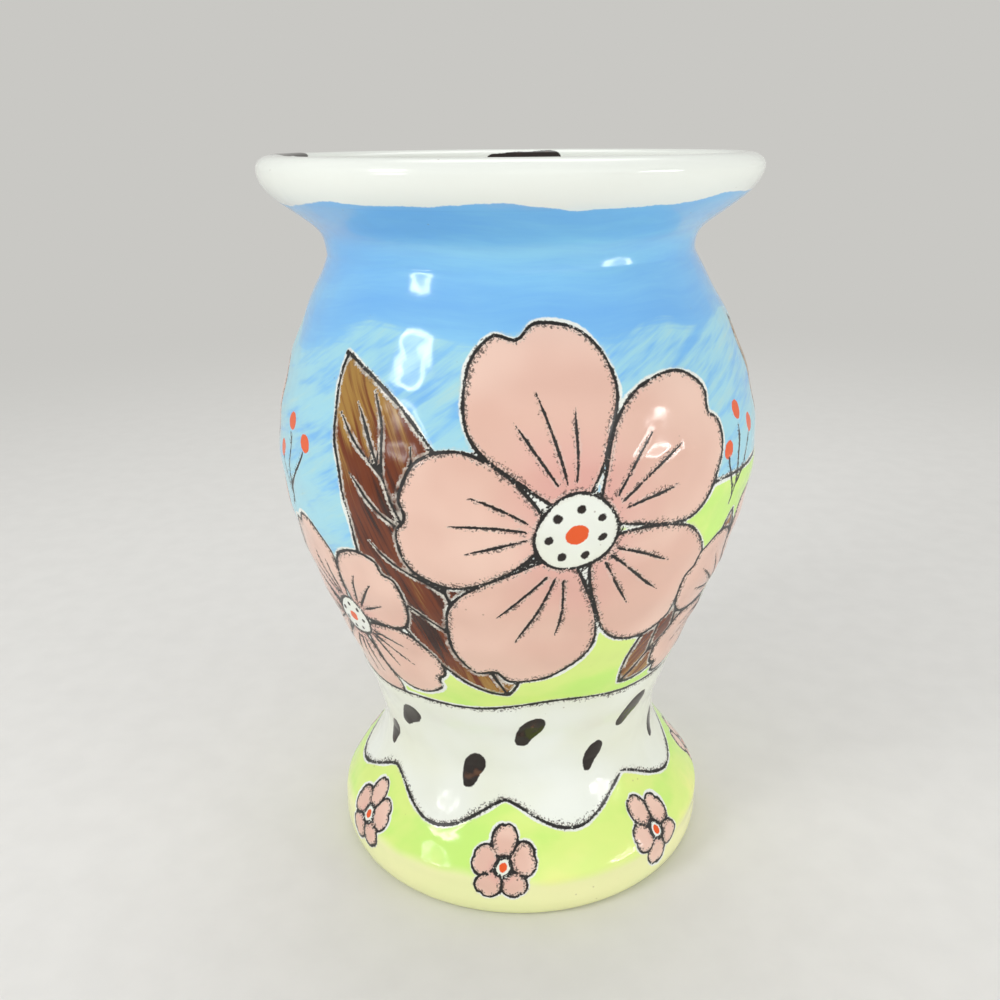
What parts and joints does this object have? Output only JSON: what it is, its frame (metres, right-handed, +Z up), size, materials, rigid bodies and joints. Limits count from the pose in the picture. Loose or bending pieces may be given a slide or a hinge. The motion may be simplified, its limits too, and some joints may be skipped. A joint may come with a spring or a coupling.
{
  "type": "pottery vase",
  "caption": "Hand-thrown footed vase with a swelling belly, drawn-in neck and flared rolled rim, painted and incised under a clear glaze, for cut flowers.",
  "frame": {"origin": "on the vase's axis, at the surface that it stands on", "axes": "+Z up along the axis of turning; the painted front faces -Y"},
  "size_m": [0.1856, 0.1856, 0.28],
  "materials": {
    "foot_glaze": "lime green brushed underglaze under a glossy clear glaze",
    "body_glaze": "peach, brown and cream underglaze with incised black lines under a glossy clear glaze",
    "shoulder_glaze": "sky blue brushed underglaze under a glossy clear glaze",
    "rim_glaze": "cream white glossy glaze with black brushed dabs",
    "raw_clay": "unglazed buff clay"
  },
  "bodies": {
    "root": {"foot_skirt": "foot_glaze", "lower_bowl": "body_glaze", "upper_bowl": "shoulder_glaze", "collar": "shoulder_glaze", "rim_coil": "rim_glaze", "waist_slip": "raw_clay", "belly_slip": "raw_clay", "neck_slip": "raw_clay", "rim_slip": "raw_clay"}
  },
  "joints": []
}
